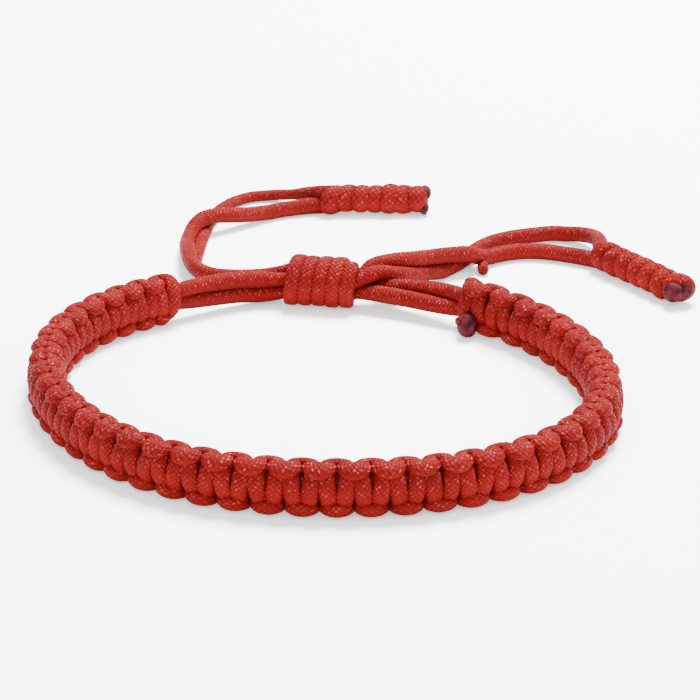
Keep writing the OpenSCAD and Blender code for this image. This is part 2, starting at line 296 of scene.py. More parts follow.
class Surface:
    """Tubes of points that are joined into one mesh with a cord map and a painted shade mask."""

    def __init__(self, name: str) -> None:
        """Starts an empty surface.

        Args:
            name: Name of the piece.
        """
        self.name = name
        self.points: list[np.ndarray] = []
        self.faces: list[np.ndarray] = []
        self.caps: list[np.ndarray] = []
        self.maps: list[np.ndarray] = []
        self.masks: list[np.ndarray] = []
        self.count = 0

    def add(self, cord: Cord) -> "Surface":
        """Adds the tube of a cord.

        The cord map holds the share round the cord and the length along it in millimetres. The
        mask paints shade: it is 1 on the side that lies inward and falls to 0 on the other by a sine.

        Args:
            cord: The cord to add.

        Returns:
            This surface.
        """
        grid, share, length = cord.rings()
        cord_map = np.stack(np.broadcast_arrays(share[None, :], length[:, None] / MM), axis=-1)
        # Painted shade: 1 on the side turned away from out, towards the core, the knot's axis or the floor
        inner = 0.5 - 0.5 * np.sin(2.0 * np.pi * share[:-1])
        return self.lay(grid[:, :-1], cord_map, inner)

    def lay(self, rings: np.ndarray, cord_map: np.ndarray, mask: np.ndarray) -> "Surface":
        """Adds a tube of four-sided faces with its two ends closed.

        Args:
            rings: Points, one row for each ring.
            cord_map: Map of the points, with a column more that closes the way round.
            mask: Painted shade mask of the points of a ring.

        Returns:
            This surface.
        """
        count, sides = rings.shape[:2]
        ring, side = np.meshgrid(np.arange(count - 1), np.arange(sides), indexing="ij")
        corners = ((ring, side), (ring + 1, side), (ring + 1, side + 1), (ring, side + 1))
        quads = np.stack([r * sides + s % sides for r, s in corners], axis=-1)
        cap = np.arange(sides)
        self.points.append(rings.reshape(-1, 3))
        self.faces.append(quads.reshape(-1, 4) + self.count)
        self.caps += [self.count + cap, self.count + (count - 1) * sides + cap[::-1]]
        self.maps.append(np.stack([cord_map[r, s] for r, s in corners], axis=-2).reshape(-1, 2))
        self.masks.append(np.broadcast_to(mask, (count, sides)).reshape(-1))
        self.count += count * sides
        return self

    def build(self) -> bpy.types.Object:
        """Makes the mesh object, smooth shaded, and links it to the scene.

        Returns:
            The new object, at the origin.
        """
        points = np.concatenate(self.points)
        quads = np.concatenate(self.faces)
        cap_loops = np.concatenate(self.caps)
        loops = np.concatenate([quads.ravel(), cap_loops]).astype(np.int32)
        sizes = np.concatenate([np.full(len(quads), 4), [len(cap) for cap in self.caps]])
        starts = np.concatenate([[0], np.cumsum(sizes)[:-1]]).astype(np.int32)
        uv = np.concatenate([*self.maps, np.zeros((len(cap_loops), 2))])
        mesh = bpy.data.meshes.new(self.name)
        mesh.vertices.add(len(points))
        mesh.vertices.foreach_set("co", points.astype(np.float32).ravel())
        mesh.loops.add(len(loops))
        mesh.loops.foreach_set("vertex_index", loops)
        mesh.polygons.add(len(sizes))
        mesh.polygons.foreach_set("loop_start", starts)
        mesh.polygons.foreach_set("use_smooth", np.ones(len(sizes), dtype=bool))
        layer = mesh.uv_layers.new(name=CORD_UV)
        layer.data.foreach_set("uv", uv.astype(np.float32).ravel())
        # Stores the painted shade mask
        mask = mesh.attributes.new(PAINTED_INNER_SHADE, "FLOAT", "POINT")
        mask.data.foreach_set("value", np.concatenate(self.masks).astype(np.float32))
        mesh.update(calc_edges=True)
        mesh.validate()
        piece = bpy.data.objects.new(self.name, mesh)
        bpy.context.scene.collection.objects.link(piece)
        return piece


@dataclass(frozen=True)
class Loop:
    """Plan of the bracelet's loop, a slightly boxy oval.

    Attributes:
        radius: Mean radius.
        oval: Share of the radius by which the loop is oval.
        oval_turn: How far the oval is turned, in degrees.
        boxy: Share of the radius by which the loop is boxy.
        boxy_turn: How far the boxy part is turned, in degrees.
        centre_y: Y position of the centre.
        start: Direction of the band's left end, in degrees.
        stop: Direction of the band's right end, a full turn added.
        mid_z: Height of the band's mid line.
        lead: How far the table of lengths goes on past both ends, in degrees.
    """

    radius: float = 30.4 * MM
    oval: float = 0.07
    oval_turn: float = 21.0
    boxy: float = 0.013
    boxy_turn: float = 30.0
    centre_y: float = -1.6 * MM
    start: float = 126.5
    stop: float = 411.4
    mid_z: float = MID_HEIGHT
    lead: float = 8.0

    def plan(self, degrees: np.ndarray) -> np.ndarray:
        """Centre line: the radius swells with the cosines of twice and four times the direction.

        Args:
            degrees: Directions seen from the centre.

        Returns:
            Points on the surface below the centre line.
        """
        a = np.asarray(degrees, dtype=float)
        swell = (1.0 + self.oval * np.cos(np.radians(2 * (a + self.oval_turn)))
                 + self.boxy * np.cos(np.radians(4 * (a + self.boxy_turn))))
        r = self.radius * swell
        return np.stack([r * np.cos(np.radians(a)), self.centre_y + r * np.sin(np.radians(a)),
                         np.zeros_like(a)], axis=-1)

    def outward(self, degrees: np.ndarray) -> np.ndarray:
        """Outward direction: to the right of the direction of travel over two degrees."""
        return -left_of(unit(self.plan(degrees + 1.0) - self.plan(degrees - 1.0)))

    def table(self) -> tuple[np.ndarray, np.ndarray]:
        """Measures the loop by directions a degree apart.

        Returns:
            The directions and the length along the loop at each, from the band's start.
        """
        degrees = np.arange(self.start - self.lead, self.stop + self.lead, 1.0)
        length = along(self.plan(degrees))
        return degrees, length - np.interp(self.start, degrees, length)

    def band_length(self) -> float:
        """Length of the band's mid line between its two ends."""
        degrees, length = self.table()
        return float(np.interp(self.stop, degrees, length))

    def carry(self, rows: np.ndarray) -> np.ndarray:
        """Carries points of the band's own space onto the loop.

        Args:
            rows: Length along the band, height from its mid line and distance outward.

        Returns:
            Points in the part's frame.
        """
        degrees, length = self.table()
        a = np.interp(rows[..., 0], length, degrees)
        lift = (self.mid_z + rows[..., 1])[..., None] * UP
        return self.plan(a) + rows[..., 2:3] * self.outward(a) + lift


class Wiring:
    """Puts nodes into a tree and joins them, so that a pattern reads as a formula.

    A value is a socket, which is linked, a number, or a colour of three numbers.
    """

    def __init__(self, tree: bpy.types.NodeTree) -> None:
        """Starts on a tree.

        Args:
            tree: Tree that the nodes go into.
        """
        self.tree = tree

    def put(self, socket: bpy.types.NodeSocket, value: Value) -> None:
        """Links a value to an input, or sets it there."""
        if isinstance(value, bpy.types.NodeSocket):
            self.tree.links.new(value, socket)
        else:
            socket.default_value = (*value, 1.0) if isinstance(value, tuple) else value

    def add(self, kind: str, values: dict[int | str, Value] | None = None,
            **settings: object) -> bpy.types.bpy_prop_collection:
        """Adds a node.

        Args:
            kind: Type of the node.
            values: What goes into its inputs, by their names or numbers.
            settings: The node's own settings, made before its inputs are filled.

        Returns:
            The node's outputs.
        """
        node = self.tree.nodes.new(kind)
        for name, setting in settings.items():
            setattr(node, name, setting)
        for key, value in (values or {}).items():
            self.put(node.inputs[key], value)
        return node.outputs

    def maths(self, kind: str, *values: Value) -> bpy.types.NodeSocket:
        """Adds a math node of a kind on one to three values."""
        return self.add("ShaderNodeMath", dict(enumerate(values)), operation=kind)[0]

    def times(self, *values: Value) -> bpy.types.NodeSocket:
        """Multiplies two values."""
        return self.maths("MULTIPLY", *values)

    def noise(self, place: bpy.types.NodeSocket, scale: float, detail: float) -> bpy.types.NodeSocket:
        """Adds a noise on coordinates."""
        return self.add("ShaderNodeTexNoise", {"Vector": place, "Scale": scale, "Detail": detail})["Fac"]

    def fit(self, value: Value, span: tuple[float, float], low: float = 0.0, high: float = 1.0,
            **settings: object) -> bpy.types.NodeSocket:
        """Carries a span of a value to another, and holds it at the ends.

        Args:
            value: The value.
            span: Its two ends.
            low: Result at the span's start.
            high: Result at the span's end.
            settings: The node's own settings.

        Returns:
            The result.
        """
        inputs = {"Value": value, "From Min": span[0], "From Max": span[1], "To Min": low, "To Max": high}
        return self.add("ShaderNodeMapRange", inputs, **settings)["Result"]

    def mix(self, share: Value, first: Value, second: Value) -> bpy.types.NodeSocket:
        """Mixes two colours, from the first to the second."""
        inputs = {MIX_SHARE: share, MIX_A: first, MIX_B: second}
        return self.add("ShaderNodeMix", inputs, data_type="RGBA")[MIX_RESULT]

    def bump(self, height: Value, strength: float, distance: float) -> bpy.types.NodeSocket:
        """Makes a normal of a height."""
        inputs = {"Height": height, "Strength": strength, "Distance": distance}
        return self.add("ShaderNodeBump", inputs)["Normal"]


@dataclass(frozen=True)
class SheathGroup:
    """Shader node group that draws the plaited sheath on the cord map.

    Attributes:
        name: Name of the group.
        patch: Scale and detail of the noise that moves the yarns a little aside.
        count_lift: Even number that keeps the second family's count above zero.
        crown_span: Heights between which a crown starts and is full.
    """

    name: str = "plaited_sheath"
    patch: tuple[float, float] = (0.9, 2.0)
    count_lift: float = 4096.0
    crown_span: tuple[float, float] = (0.40, 0.85)

    def build(self) -> bpy.types.NodeTree:
        """Builds the group: it takes the cord map and draws the sheath by Braid.height's formula.

        Height is the relief, Crown its upper part, Fibre a sine of two waves along each yarn and
        Yarn a number drawn for each crossing.

        Returns:
            The node group, made once.
        """
        known = bpy.data.node_groups.get(self.name)
        if known is not None:
            return known
        tree = bpy.data.node_groups.new(self.name, "ShaderNodeTree")
        face = tree.interface
        face.new_socket("Cord Map", in_out="INPUT", socket_type="NodeSocketVector")
        for name, value in (("Carriers", 9.0), ("Lay", 0.48), ("Wander", 0.12)):
            face.new_socket(name, in_out="INPUT", socket_type="NodeSocketFloat").default_value = value
        for name in ("Height", "Crown", "Fibre", "Yarn"):
            face.new_socket(name, in_out="OUTPUT", socket_type="NodeSocketFloat")
        wire = Wiring(tree)
        maths = wire.maths
        given = wire.add("NodeGroupInput")
        result = tree.nodes.new("NodeGroupOutput")

        parts = wire.add("ShaderNodeSeparateXYZ", {0: given["Cord Map"]})
        patches = wire.noise(given["Cord Map"], *self.patch)
        drift = wire.times(maths("SUBTRACT", patches, 0.5), given["Wander"])
        around = wire.times(maths("ADD", parts["X"], drift), given["Carriers"])
        ahead = maths("DIVIDE", parts["Y"], given["Lay"])
        one = maths("ADD", around, ahead)
        two = maths("ADD", maths("SUBTRACT", around, ahead), self.count_lift)
        whole_one, whole_two = maths("FLOOR", one), maths("FLOOR", two)
        odd = maths("MODULO", maths("ADD", whole_one, whole_two), 2.0)
        even = maths("SUBTRACT", 1.0, odd)
        ridge_one, ridge_two = (maths("SINE", wire.times(maths("FRACT", count), math.pi))
                                for count in (one, two))
        height = maths("ADD", wire.times(even, self._woven(wire, ridge_one, ridge_two)),
                       wire.times(odd, self._woven(wire, ridge_two, ridge_one)))
        lie = maths("ADD", wire.times(even, one), wire.times(odd, two))
        waves = maths("SINE", wire.times(lie, 4.0 * math.pi))
        cell = wire.add("ShaderNodeCombineXYZ", {"X": whole_one, "Y": whole_two})[0]
        draw = wire.add("ShaderNodeTexWhiteNoise", {"Vector": cell}, noise_dimensions="2D")
        # The crown of the relief, where painted highlights go and the cord is glossier
        crown = wire.fit(height, self.crown_span, interpolation_type="SMOOTHSTEP")
        wire.put(result.inputs["Height"], height)
        wire.put(result.inputs["Crown"], crown)
        wire.put(result.inputs["Fibre"], maths("MULTIPLY_ADD", waves, 0.5, 0.5))
        wire.put(result.inputs["Yarn"], draw["Value"])
        return tree

    @staticmethod
    def _woven(wire: Wiring, across: Value, length: Value) -> bpy.types.NodeSocket:
        """Height of a yarn on top: its ridge across times its swell along."""
        return wire.times(across, wire.maths("MULTIPLY_ADD", length, Braid.swell, Braid.edge))


@dataclass(frozen=True)
class CordFinish:
    """Satin red braided cord.

    Attributes:
        name: Name of the material.
        slot: The record's material slot, not used.
        shade_and_tone: Colour of the painted shade between the yarns, where the cord faces up and on its
            inward side, and of the darker random tone clouds.
        body: Colour of the cord.
        crown: Colour of the painted highlight dashes on the yarns' crowns.
        gloss: Specular level.
        lay: Length of a crossing on the cord map, in millimetres.
        carriers: Yarns of each family round the cord.
        bump: Height of the relief that the mesh doesn't hold, in metres.
        fibre_bump: Share of that height in the fibres' waves.
        top_shade: How far painted shade darkens the cord between the crowns where it faces up.
        facing: Upward part of the normal at which a place starts and stops to count as upward, for the
            painted shade and highlights.
        side_light: How far a place that faces down or aside counts as upward.
        tone: Scale and detail of the cloudy tone.
        glint: Scale and detail of the noise that lights some crowns.
        glint_span: Values of that noise between which a crown lights up.
        yarn_span: Values of a crossing's draw between which its crown lights up.
        yarn_gap_shade_span: Heights between which the colour goes from the painted shade between the yarns
            to body.
        tone_and_shade_span: Values of the random tone plus the painted top shade between which the colour
            goes to shade_and_tone.
        painted_inner_shade_span: Values of the painted shade mask between which the colour goes to
            shade_and_tone.
        rough: Roughness between the crowns and on them.
    """

    name: str = "satin_red_cord"
    slot: str = "braided_cord"
    # Colour of the painted shade and of the darker random tone
    shade_and_tone: Triple = (0.058, 0.0022, 0.0024)
    body: Triple = (0.130, 0.0036, 0.0034)
    crown: Triple = (0.320, 0.056, 0.048)
    gloss: float = 0.03
    lay: float = 0.48
    carriers: float = 9.0
    bump: float = 0.07 * MM
    fibre_bump: float = 0.12
    top_shade: float = 0.30
    facing: tuple[float, float] = (-0.35, 0.65)
    side_light: float = 0.15
    tone: tuple[float, float] = (160.0, 3.0)
    glint: tuple[float, float] = (1900.0, 2.0)
    glint_span: tuple[float, float] = (0.44, 0.58)
    yarn_span: tuple[float, float] = (0.30, 0.85)
    yarn_gap_shade_span: tuple[float, float] = (-0.30, 0.45)
    tone_and_shade_span: tuple[float, float] = (0.45, 1.25)
    painted_inner_shade_span: tuple[float, float] = (0.42, 1.05)
    rough: tuple[float, float] = (0.70, 0.50)

    def material(self) -> bpy.types.Material:
        """Builds the material from the sheath group, two noises and the painted shade mask.

        Returns:
            The material, made once.
        """
        known = bpy.data.materials.get(self.name)
        if known is not None:
            return known
        material = bpy.data.materials.new(self.name)
        material.use_nodes = True
        wire = Wiring(material.node_tree)
        shader = material.node_tree.nodes["Principled BSDF"]
        shader.inputs["Specular IOR Level"].default_value = self.gloss
        cord_map = wire.add("ShaderNodeUVMap", uv_map=CORD_UV)["UV"]
        sheath = wire.add("ShaderNodeGroup", {"Cord Map": cord_map, "Carriers": self.carriers,
                                              "Lay": self.lay}, node_tree=SheathGroup().build())
        relief = wire.maths("MULTIPLY_ADD", sheath["Fibre"], self.fibre_bump, sheath["Height"])
        wire.put(shader.inputs["Base Color"], self._colour(wire, sheath))
        wire.put(shader.inputs["Roughness"], wire.fit(sheath["Crown"], (0.0, 1.0), *self.rough))
        wire.put(shader.inputs["Normal"], wire.bump(relief, 1.0, self.bump))
        return material

    def _colour(self, wire: Wiring, sheath: bpy.types.bpy_prop_collection) -> bpy.types.NodeSocket:
        """Works out the colour.

        It goes from painted shade between the yarns to body on them, and back to the shade and tone colour
        in random clouds of tone and in painted shade where the cord faces up. Painted highlight dashes
        along the crowns of some yarns that face up take the highlight colour, and painted shade on the
        inward side takes the shade and tone colour.

        Args:
            wire: Wiring of the material.
            sheath: Outputs of the sheath group.

        Returns:
            The colour.
        """
        place = wire.add("ShaderNodeTexCoord")["Object"]
        normal = wire.add("ShaderNodeSeparateXYZ", {0: wire.add("ShaderNodeNewGeometry")["Normal"]})
        upward = wire.fit(normal["Z"], self.facing, self.side_light)
        # Painted shade in the crevices between the yarns: darker where the relief is low
        yarn_gap_shade = wire.mix(wire.fit(sheath["Height"], self.yarn_gap_shade_span), self.shade_and_tone, self.body)
        # Random cloudy tone plus painted shade where the cord faces up
        shade = wire.maths("MULTIPLY_ADD", upward, self.top_shade, wire.noise(place, *self.tone))
        tone_and_top_shade = wire.mix(wire.fit(shade, self.tone_and_shade_span), yarn_gap_shade, self.shade_and_tone)
        # Painted highlight: light dashes on the crowns of some yarns that face up
        chosen = wire.times(wire.fit(sheath["Yarn"], self.yarn_span),
                            wire.fit(wire.noise(place, *self.glint), self.glint_span))
        highlight_dashes = wire.times(sheath["Crown"], sheath["Fibre"])
        highlighted = wire.mix(wire.times(highlight_dashes, wire.times(upward, chosen)), tone_and_top_shade, self.crown)
        # Painted shade on the cord's inward or lower side, from the mesh's mask
        painted_inner_shade = wire.add("ShaderNodeAttribute", attribute_name=PAINTED_INNER_SHADE)["Fac"]
        return wire.mix(wire.fit(painted_inner_shade, self.painted_inner_shade_span), highlighted, self.shade_and_tone)


@dataclass(frozen=True)
class MeltedFinish:
    """Burnt and melted cord: nearly black red-purple with a dull, lumpy skin.

    Attributes:
        name: Name of the material.
        slot: The record's material slot, not used.
        dark: Colour of the darker clouds.
        light: Colour of the lighter clouds.
        gloss: Specular level.
        cloud: Scale and detail of the clouds.
        cloud_span: Values of the noise at which the clouds are wholly dark and wholly light.
        rough: Roughness of the dark clouds and of the light ones.
        bump_strength: Strength of the lumps.
        bump: Height of the lumps, in metres.
    """

    name: str = "burnt_cord_end"
    slot: str = "melted_end"
    dark: Triple = (0.014, 0.0012, 0.0030)
    light: Triple = (0.070, 0.0060, 0.0110)
    gloss: float = 0.06
    cloud: tuple[float, float] = (1300.0, 3.0)
    cloud_span: tuple[float, float] = (0.38, 0.68)
    rough: tuple[float, float] = (0.50, 0.80)
    bump_strength: float = 0.8
    bump: float = 0.08 * MM

    def material(self) -> bpy.types.Material:
        """Builds the material: a cloudy mix of two dark tones.

        Returns:
            The material, made once.
        """
        known = bpy.data.materials.get(self.name)
        if known is not None:
            return known
        material = bpy.data.materials.new(self.name)
        material.use_nodes = True
        wire = Wiring(material.node_tree)
        shader = material.node_tree.nodes["Principled BSDF"]
        shader.inputs["Specular IOR Level"].default_value = self.gloss
        cloud = wire.noise(wire.add("ShaderNodeTexCoord")["Object"], *self.cloud)
        colour = wire.mix(wire.fit(cloud, self.cloud_span), self.dark, self.light)
        wire.put(shader.inputs["Base Color"], colour)
        wire.put(shader.inputs["Roughness"], wire.fit(cloud, (0.0, 1.0), *self.rough))
        wire.put(shader.inputs["Normal"], wire.bump(cloud, self.bump_strength, self.bump))
        return material


def dress(piece: bpy.types.Object, finish: CordFinish | MeltedFinish, *nodes: str) -> bpy.types.Object:
    """Gives a piece its finish and puts it in the place of CAD nodes on the one body.

    Args:
        piece: The piece.
        finish: Its finish.
        nodes: The CAD nodes that it stands for.

    Returns:
        The piece.
    """
    piece.data.materials.append(finish.material())
    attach(piece, "root")
    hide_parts(*nodes)
    LOG.info("%s: %d faces", piece.name, len(piece.data.polygons))
    return piece


@dataclass(frozen=True)
class KnottedBand:
    """The band: two strands tied in square knots round the core.

    Each strand crosses its own face of the core in a leaning bar, turns round the edge of the
    other strand and comes back, so that the bars form a row of Vs between two rows of purls.
    Table columns: place in pitches from the half knot's middle, height, distance outward, half
    width and half thickness in millimetres.

    Attributes:
        loop: Plan that the band lies on.
        knot_pitch: Length of a half knot, before a whole number is fitted to the band.
        core_rise: Height of the core cords above and below the mid line.
        crossing: Table of half a bar, from its middle to its turn.
        purl: Table row of the turn along the upper edge.
        low_purl: Table row of the turn along the lower edge, which is fuller.
        left_trim: How far the left end is drawn in, and the length over which that fades.
        right_growth: How far the right end is drawn out, and the length over which that fades.
        right_rise: Share by which the right end's upper half is taller.
        front_end: Table row of the front strand's last point.
        back_end: Table row of the back strand's last point.
        spacing: Distance between a strand's rings.
        sides: Corners of a ring.
        clearance: Least height of a strand over the surface.
        finish: Finish of the strands.
    """

    loop: Loop = Loop()
    knot_pitch: float = 1.83 * MM
    core_rise: float = 0.66 * MM
    crossing: tuple[tuple[float, ...], ...] = (
        (-0.04, 0.50, 1.48, 0.99, 0.66),
        (-0.11, 1.42, 1.02, 0.98, 0.64),
        (-0.13, 2.04, 0.42, 0.94, 0.64),
        (-0.03, 2.36, -0.44, 0.94, 0.64),
        (0.22, 2.31, -0.80, 1.08, 0.67))
    purl: tuple[float, ...] = (0.50, 2.29, -0.88, 1.18, 0.68)
    low_purl: tuple[float, ...] = (0.50, 2.14, -1.14, 1.20, 0.90)
    left_trim: tuple[float, float] = (1.5 * MM, 9.0 * MM)
    right_growth: tuple[float, float] = (1.2 * MM, 8.0 * MM)
    right_rise: float = 0.10
    front_end: tuple[float, ...] = (-0.45, 2.05, -1.75, 0.60, 0.60)
    back_end: tuple[float, ...] = (-0.25, 1.60, -1.70, 0.55, 0.55)
    spacing: float = 0.17 * MM
    sides: int = 20
    clearance: float = 0.14 * MM
    finish: CordFinish = CordFinish()

    def half_knots(self) -> int:
        """Half knots along the band, an even number."""
        return 2 * round(self.loop.band_length() / self.knot_pitch / 2)

    def pitch(self) -> float:
        """Distance from one half knot to the next."""
        return self.loop.band_length() / self.half_knots()

    def rows(self, side: Side) -> np.ndarray:
        """Rows of a whole strand in the band's own space.

        Every half knot takes the table once down and once up, with the lower purl blended in
        towards the turns that lie below the mid line.

        Args:
            side: Face that the strand crosses.

        Returns:
            Rows of length along the band, height, distance outward, half width, half thickness.
        """
        face = side.value
        first = 0 if side is Side.FRONT else -1
        k = np.arange(first, self.half_knots())
        up = face * np.where(k % 2 == 0, 1, -1)
        half = np.array(self.crossing)
        table = np.concatenate([half[::-1], half, [self.purl]])
        way = np.concatenate([-np.ones(len(half)), np.ones(len(half) + 1)])
        rise = up[:, None] * way
        fade = ease(np.linspace(0.0, 1.0, len(half)))
        turn = np.concatenate([ease(np.linspace(1.0, 0.0, len(half))), fade, [1.0]])[:, None]
        low = table + turn * (np.array(self.low_purl) - self.purl)
        table = np.where((rise < 0)[:, :, None], low[None], table[None])
        rows = self._place(table, k[:, None] + 0.5 + way * table[:, :, 0], rise, face).reshape(-1, 5)
        end = np.array(self.front_end if side is Side.FRONT else self.back_end)
        rows[-1] = self._place(end, k[-1] + 0.5 + end[0], up[-1], face)
        if side is Side.FRONT:
            start = self._place(np.array(self.purl), first - 0.5 + self.purl[0], -face, face)
            rows = np.concatenate([[start], rows])
        return self._fit_ends(rows)

    def _place(self, table: np.ndarray, at: np.ndarray, rise: np.ndarray, face: int) -> np.ndarray:
        """Carries table rows into the band's own space.

        Args:
            table: The rows.
            at: Their places along the band, in pitches from its start.
            rise: 1 for the rows above the mid line and -1 for those below.
            face: 1 on the front face and -1 on the back.

        Returns:
            Rows in metres.
        """
        return np.stack([self.pitch() * at, rise * table[..., 1] * MM, face * table[..., 2] * MM,
                         table[..., 3] * MM, table[..., 4] * MM], axis=-1)

    def _fit_ends(self, rows: np.ndarray) -> np.ndarray:
        """Draws the left end in and the right end out and up, each fading along its span.

        Args:
            rows: Rows in the band's own space.

        Returns:
            The same rows, changed.
        """
        trim, trim_span = self.left_trim
        growth, growth_span = self.right_growth
        near_left = np.clip(1.0 - rows[:, 0] / trim_span, 0.0, 1.0)
        near_right = np.clip(1.0 - (self.loop.band_length() - rows[:, 0]) / growth_span, 0.0, 1.0)
        rows[:, 0] += trim * near_left + growth * near_right
        rows[:, 1] += self.right_rise * near_right * np.maximum(rows[:, 1], 0.0)
        return rows

    def strand(self, side: Side, name: str) -> bpy.types.Object:
        """Builds one strand, its thickness pointing away from the core.

        Args:
            side: Face that the strand crosses.
            name: Name of the piece.

        Returns:
            The strand.
        """
        rows = spline(self.rows(side), self.spacing)
        core = np.clip(rows[:, 1], -self.core_rise, self.core_rise)
        away = np.stack([np.zeros(len(rows)), rows[:, 1] - core, rows[:, 2]], axis=1)
        path = self.loop.carry(rows[:, :3])
        step = 0.1 * MM
        out = unit(self.loop.carry(rows[:, :3] + step * unit(away)) - path)
        path[:, 2] = np.maximum(path[:, 2], rows[:, 4] + self.clearance)
        cord = Cord(path, out, rows[:, 3], rows[:, 4], sides=self.sides).rounded()
        return Surface(name).add(cord).build()

    def build(self) -> None:
        """Builds and dresses both strands."""
        dress(self.strand(Side.FRONT, "front_knotting_strand"), self.finish, "front_strand")
        dress(self.strand(Side.BACK, "back_knotting_strand"), self.finish, "back_strand")


@dataclass(frozen=True)
class SlidingKnot:
    """The cord wrapped round the four cords at the back.

    Attributes:
        x: X position of its middle.
        y: Y position of its middle.
        turn: Its direction from X, in degrees.
        turns: Turns of the wrapped cord.
        step: Length from one turn to the next.
        wrap_r: Radius of the turns' centre line.
        half_w: Half width of the wrapped cord, along the knot.
        half_t: Half thickness of the wrapped cord.
        square: How far the wrapped cord's section is squared up.
        mid_z: Height of its middle.
        cad_half_w: Half width of the wrapped cord in the CAD, which sets the knot's length.
        bundle_half: Half distance between two cords inside, before they are spread.
        bundle_r: Half thickness of the cords inside.
        spread: How far the cords inside are spread.
        sink: How far the cords inside lie lower at the left face.
        radius_waver: How far the turns' radius wavers.
        radius_wave: Radians a turn of that waver, and its start.
        step_waver: How far the turns waver along the knot.
        step_wave: Length of that waver in turns.
        rings: Rings of the wrapped cord.
        sides: Corners of a ring.
        clearance: Least height over the surface.
        finish: Finish of the wrapped cord.
    """

    x: float = -0.3 * MM
    y: float = 28.9 * MM
    turn: float = -10.0
    turns: float = 4.5
    step: float = 1.72 * MM
    wrap_r: float = 2.48 * MM
    half_w: float = 0.95 * MM
    half_t: float = 0.69 * MM
    square: float = 0.12
    mid_z: float = MID_HEIGHT
    cad_half_w: float = 0.81 * MM
    bundle_half: float = 0.72 * MM
    bundle_r: float = 0.84 * MM
    spread: float = 1.22
    sink: float = 0.60 * MM
    radius_waver: float = 0.05 * MM
    radius_wave: tuple[float, float] = (2.3, 0.7)
    step_waver: float = 0.03 * MM
    step_wave: float = 1.7
    rings: int = 810
    sides: int = 28
    clearance: float = 0.04 * MM
    finish: CordFinish = CordFinish()

    @property
    def mid(self) -> np.ndarray:
        """Middle of the knot."""
        return np.array([self.x, self.y, self.mid_z])

    @property
    def ahead(self) -> np.ndarray:
        """Direction of the knot, from left to right."""
        return heading(self.turn)

    @property
    def rear(self) -> np.ndarray:
        """Direction away from the band, square to the knot."""
        return left_of(self.ahead)

    @property
    def half_length(self) -> float:
        """Half length over the turns."""
        return self.turns * self.step / 2 + self.cad_half_w

    def inside(self, level: int, rise: Rise) -> np.ndarray:
        """One of the four cords inside the knot, which twist by a quarter turn along it.

        Args:
            level: 1 in the top row and -1 in the bottom row, at the right end.
            rise: Which core cord it belongs to. The upper one is in the rear column there.

        Returns:
            Five points from the left end to the right end.
        """
        share = np.linspace(-1.0, 1.0, 5)[:, None]
        turn = np.radians(45.0 * (1.0 - share))
        lift = rise.value * np.sin(turn) + level * np.cos(turn)
        back = rise.value * np.cos(turn) - level * np.sin(turn)
        shift = self.spread * self.bundle_half * (lift * UP + back * self.rear)
        sink = self.sink * (1.0 - share) / 2 * UP
        return self.mid + share * self.half_length * self.ahead + shift - sink

    def build(self) -> None:
        """Builds the coil: a helix of equal steps whose radius and step waver by slow sines."""
        turns = np.linspace(0.0, self.turns, self.rings)
        angle = 2.0 * np.pi * (turns - 0.5)
        rate, start = self.radius_wave
        waver = self.radius_waver * np.sin(rate * turns + start)
        along_knot = self.step_waver * np.sin(2.0 * np.pi * turns / self.step_wave)
        shift = self.step * (turns - self.turns / 2) + along_knot
        spoke = np.cos(angle)[:, None] * UP + np.sin(angle)[:, None] * self.rear
        path = self.mid + shift[:, None] * self.ahead + (self.wrap_r + waver)[:, None] * spoke
        path[:, 2] = np.maximum(path[:, 2], self.half_t + self.clearance)
        full = np.ones(self.rings)
        cord = Cord(path, spoke, self.half_w * full, self.half_t * full, sides=self.sides,
                    square=self.square).rounded()
        dress(Surface("wrapped_sliding_knot").add(cord).build(), self.finish, "sliding_knot")


